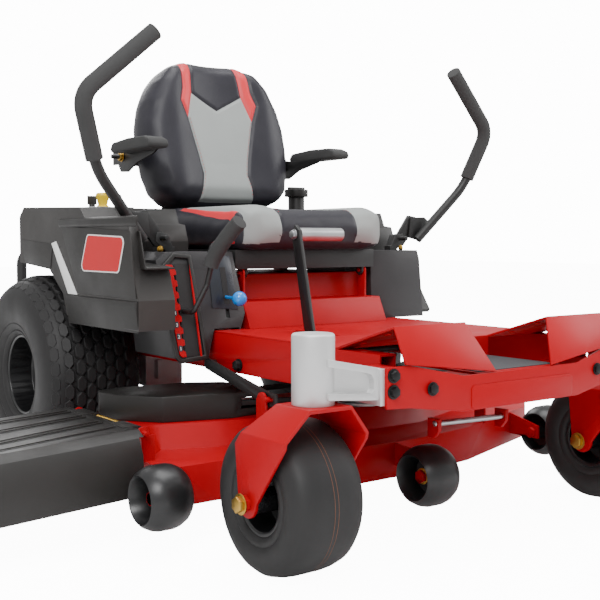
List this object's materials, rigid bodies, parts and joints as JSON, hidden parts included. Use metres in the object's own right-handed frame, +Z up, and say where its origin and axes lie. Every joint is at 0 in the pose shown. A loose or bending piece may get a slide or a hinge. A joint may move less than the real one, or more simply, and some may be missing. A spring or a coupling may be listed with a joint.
{
  "type": "zero turn mower",
  "caption": "Zero turn riding mower: tubular frame, two drive levers, hinged seat, front casters, rear drive wheels and a side-discharge deck that lifts.",
  "frame": {"origin": "on the ground under the centre of the machine's box", "axes": "+Y to the rear along the machine's length, +Z up, +X to the operator's left"},
  "size_m": [1.67, 1.923, 1.1212],
  "materials": {
    "red_paint": "gloss",
    "black_paint": "gloss",
    "black_plastic": "textured",
    "grey_plastic": "satin",
    "cast_aluminium": "as cast",
    "tyre_rubber": "matte",
    "foam_grip": "matte",
    "seat_vinyl": "satin",
    "steel": "satin",
    "black_bolt": "satin",
    "blade_steel": "satin",
    "belt_rubber": "matte",
    "blue_plastic": "gloss",
    "yellow_plastic": "gloss",
    "battery_plastic": "matte"
  },
  "bodies": {
    "chassis": {"battery": "battery_plastic", "caster_arm_left": "cast_aluminium", "caster_arm_right": "cast_aluminium", "consoles": "grey_plastic", "control_brackets": "black_paint", "engine": "cast_aluminium", "engine_shroud": "black_plastic", "floor_pan": "red_paint", "foot_platform": "red_paint", "frame_bolts": "black_bolt", "frame_rails": "red_paint", "fuel_tank": "black_plastic", "height_gate": "red_paint", "muffler": "steel", "nose_frame": "red_paint", "pod_left": "black_plastic", "pod_right": "black_plastic", "rear_frame": "black_paint", "seat_riser": "red_paint", "transaxles": "cast_aluminium"},
    "seat": {"seat_plate": "black_paint", "seat_cushion": "seat_vinyl", "seat_back": "seat_vinyl"},
    "armrest_right": {"armrest_right": "foam_grip"},
    "lever_post_right": {"lever_post_right": "black_paint"},
    "lever_right": {"lever_tube_right": "black_paint", "lever_grip_right": "foam_grip"},
    "caster_right": {"caster_fork_right": "red_paint"},
    "caster_wheel_right": {"caster_rim_right": "black_paint", "caster_tyre_right": "tyre_rubber"},
    "rear_wheel_right": {"rear_rim_right": "black_paint", "rear_tyre_right": "tyre_rubber"},
    "armrest_left": {"armrest_left": "foam_grip"},
    "lever_post_left": {"lever_post_left": "black_paint"},
    "lever_left": {"lever_tube_left": "black_paint", "lever_grip_left": "foam_grip"},
    "caster_left": {"caster_fork_left": "red_paint"},
    "caster_wheel_left": {"caster_rim_left": "black_paint", "caster_tyre_left": "tyre_rubber"},
    "rear_wheel_left": {"rear_rim_left": "black_paint", "rear_tyre_left": "tyre_rubber"},
    "deck": {"deck_shell": "red_paint", "spindle_housings": "cast_aluminium", "blade_belt": "belt_rubber", "pulley_covers": "black_plastic"},
    "roller_right": {"roller_right": "black_plastic"},
    "spindle_right": {"spindle_right": "blade_steel"},
    "roller_centre": {"roller_centre": "black_plastic"},
    "spindle_centre": {"spindle_centre": "blade_steel"},
    "roller_left": {"roller_left": "black_plastic"},
    "spindle_left": {"spindle_left": "blade_steel"},
    "deflector": {"chute_deflector": "black_plastic"},
    "rockshaft": {"lift_shaft": "black_paint"},
    "pedal": {"lift_pedal": "black_paint"},
    "height_lever": {"height_lever": "black_paint"},
    "speed_lever": {"speed_lever": "blue_plastic"},
    "pto_knob": {"pto_knob": "yellow_plastic"},
    "ignition_key": {"ignition_key": "black_plastic"},
    "throttle_lever": {"throttle_lever": "black_plastic"},
    "fuel_cap": {"fuel_cap": "black_plastic"}
  },
  "joints": [
    {"name": "seat_tip", "type": "hinge", "parent": "chassis", "child": "seat", "pos_m": [0.14303, -0.2435, 0.521], "axis": [1, 0, 0], "range_deg": [0, 55]},
    {"name": "armrest_right_lift", "type": "hinge", "parent": "seat", "child": "armrest_right", "pos_m": [-0.13797, 0.2155, 0.823], "axis": [-1, 0, 0], "range_deg": [0, 95]},
    {"name": "drive_right_push", "type": "hinge", "parent": "chassis", "child": "lever_post_right", "pos_m": [-0.20697, -0.1755, 0.5], "axis": [1, 0, 0], "range_deg": [-12, 12]},
    {"name": "drive_right_park", "type": "hinge", "parent": "lever_post_right", "child": "lever_right", "pos_m": [-0.22897, -0.1755, 0.604], "axis": [0, 1, 0], "range_deg": [0, 28]},
    {"name": "caster_right_swivel", "type": "hinge", "parent": "chassis", "child": "caster_right", "pos_m": [-0.31697, -0.8845, 0.314], "axis": [0, 0, 1], "continuous": true},
    {"name": "caster_right_roll", "type": "hinge", "parent": "caster_right", "child": "caster_wheel_right", "pos_m": [-0.31697, -0.8135, 0.1397], "axis": [1, 0, 0], "continuous": true},
    {"name": "rear_right_roll", "type": "hinge", "parent": "chassis", "child": "rear_wheel_right", "pos_m": [-0.30197, 0.2355, 0.254], "axis": [1, 0, 0], "continuous": true},
    {"name": "armrest_left_lift", "type": "hinge", "parent": "seat", "child": "armrest_left", "pos_m": [0.42403, 0.2155, 0.823], "axis": [-1, 0, 0], "range_deg": [0, 95]},
    {"name": "drive_left_push", "type": "hinge", "parent": "chassis", "child": "lever_post_left", "pos_m": [0.49303, -0.1755, 0.5], "axis": [1, 0, 0], "range_deg": [-12, 12]},
    {"name": "drive_left_park", "type": "hinge", "parent": "lever_post_left", "child": "lever_left", "pos_m": [0.51503, -0.1755, 0.604], "axis": [0, -1, 0], "range_deg": [0, 28]},
    {"name": "caster_left_swivel", "type": "hinge", "parent": "chassis", "child": "caster_left", "pos_m": [0.60303, -0.8845, 0.314], "axis": [0, 0, 1], "continuous": true},
    {"name": "caster_left_roll", "type": "hinge", "parent": "caster_left", "child": "caster_wheel_left", "pos_m": [0.60303, -0.8135, 0.1397], "axis": [1, 0, 0], "continuous": true},
    {"name": "rear_left_roll", "type": "hinge", "parent": "chassis", "child": "rear_wheel_left", "pos_m": [0.58803, 0.2355, 0.254], "axis": [1, 0, 0], "continuous": true},
    {"name": "deck_lift", "type": "slide", "parent": "chassis", "child": "deck", "axis": [0, 0, 1], "range_m": [-0.038, 0.038]},
    {"name": "blade_right_spin", "type": "hinge", "parent": "deck", "child": "spindle_right", "pos_m": [-0.19697, -0.2745, 0.078], "axis": [0, 0, 1], "continuous": true},
    {"name": "blade_centre_spin", "type": "hinge", "parent": "deck", "child": "spindle_centre", "pos_m": [0.20803, -0.3865, 0.078], "axis": [0, 0, 1], "continuous": true},
    {"name": "blade_left_spin", "type": "hinge", "parent": "deck", "child": "spindle_left", "pos_m": [0.61303, -0.2685, 0.078], "axis": [0, 0, 1], "continuous": true},
    {"name": "roller_right_roll", "type": "hinge", "parent": "deck", "child": "roller_right", "pos_m": [-0.44697, -0.5735, 0.107], "axis": [1, 0, 0], "continuous": true},
    {"name": "roller_centre_roll", "type": "hinge", "parent": "deck", "child": "roller_centre", "pos_m": [0.07303, -0.7655, 0.112], "axis": [1, 0, 0], "continuous": true},
    {"name": "roller_left_roll", "type": "hinge", "parent": "deck", "child": "roller_left", "pos_m": [0.68803, -0.5645, 0.107], "axis": [1, 0, 0], "continuous": true},
    {"name": "deflector_lift", "type": "hinge", "parent": "deck", "child": "deflector", "pos_m": [-0.41697, -0.4645, 0.208], "axis": [0, 1, 0], "range_deg": [0, 80]},
    {"name": "rockshaft_turn", "type": "hinge", "parent": "chassis", "child": "rockshaft", "pos_m": [0.14303, -0.3045, 0.318], "axis": [-1, 0, 0], "range_deg": [-9, 9]},
    {"name": "pedal_push", "type": "hinge", "parent": "chassis", "child": "pedal", "pos_m": [-0.00697, -0.5045, 0.33], "axis": [1, 0, 0], "range_deg": [-10, 10]},
    {"name": "height_set", "type": "hinge", "parent": "chassis", "child": "height_lever", "pos_m": [-0.23697, -0.1645, 0.44], "axis": [-1, 0, 0], "range_deg": [-27, 27]},
    {"name": "speed_set", "type": "hinge", "parent": "chassis", "child": "speed_lever", "pos_m": [-0.11897, -0.1945, 0.47], "axis": [-1, 0, 0], "range_deg": [-12, 12]},
    {"name": "pto_pull", "type": "slide", "parent": "chassis", "child": "pto_knob", "axis": [0, 0, 1], "range_m": [0, 0.012]},
    {"name": "key_turn", "type": "hinge", "parent": "chassis", "child": "ignition_key", "pos_m": [-0.25697, 0.1255, 0.679], "axis": [0, 0, -1], "range_deg": [0, 60]},
    {"name": "throttle_set", "type": "hinge", "parent": "chassis", "child": "throttle_lever", "pos_m": [-0.20697, 0.0855, 0.65], "axis": [1, 0, 0], "range_deg": [-18, 18]},
    {"name": "fuel_cap_turn", "type": "hinge", "parent": "chassis", "child": "fuel_cap", "pos_m": [0.47803, 0.2455, 0.732], "axis": [0, 0, 1], "range_deg": [0, 120]}
  ],
  "couplings": [
    {"joint": "blade_right_spin", "follows": "blade_centre_spin", "ratio": 1},
    {"joint": "blade_left_spin", "follows": "blade_centre_spin", "ratio": 1},
    {"joint": "rockshaft_turn", "follows": "deck_lift", "rad_per_m": 3.8948},
    {"joint": "pedal_push", "follows": "deck_lift", "rad_per_m": 4.3633},
    {"joint": "height_set", "follows": "deck_lift", "rad_per_m": 12.171}
  ]
}
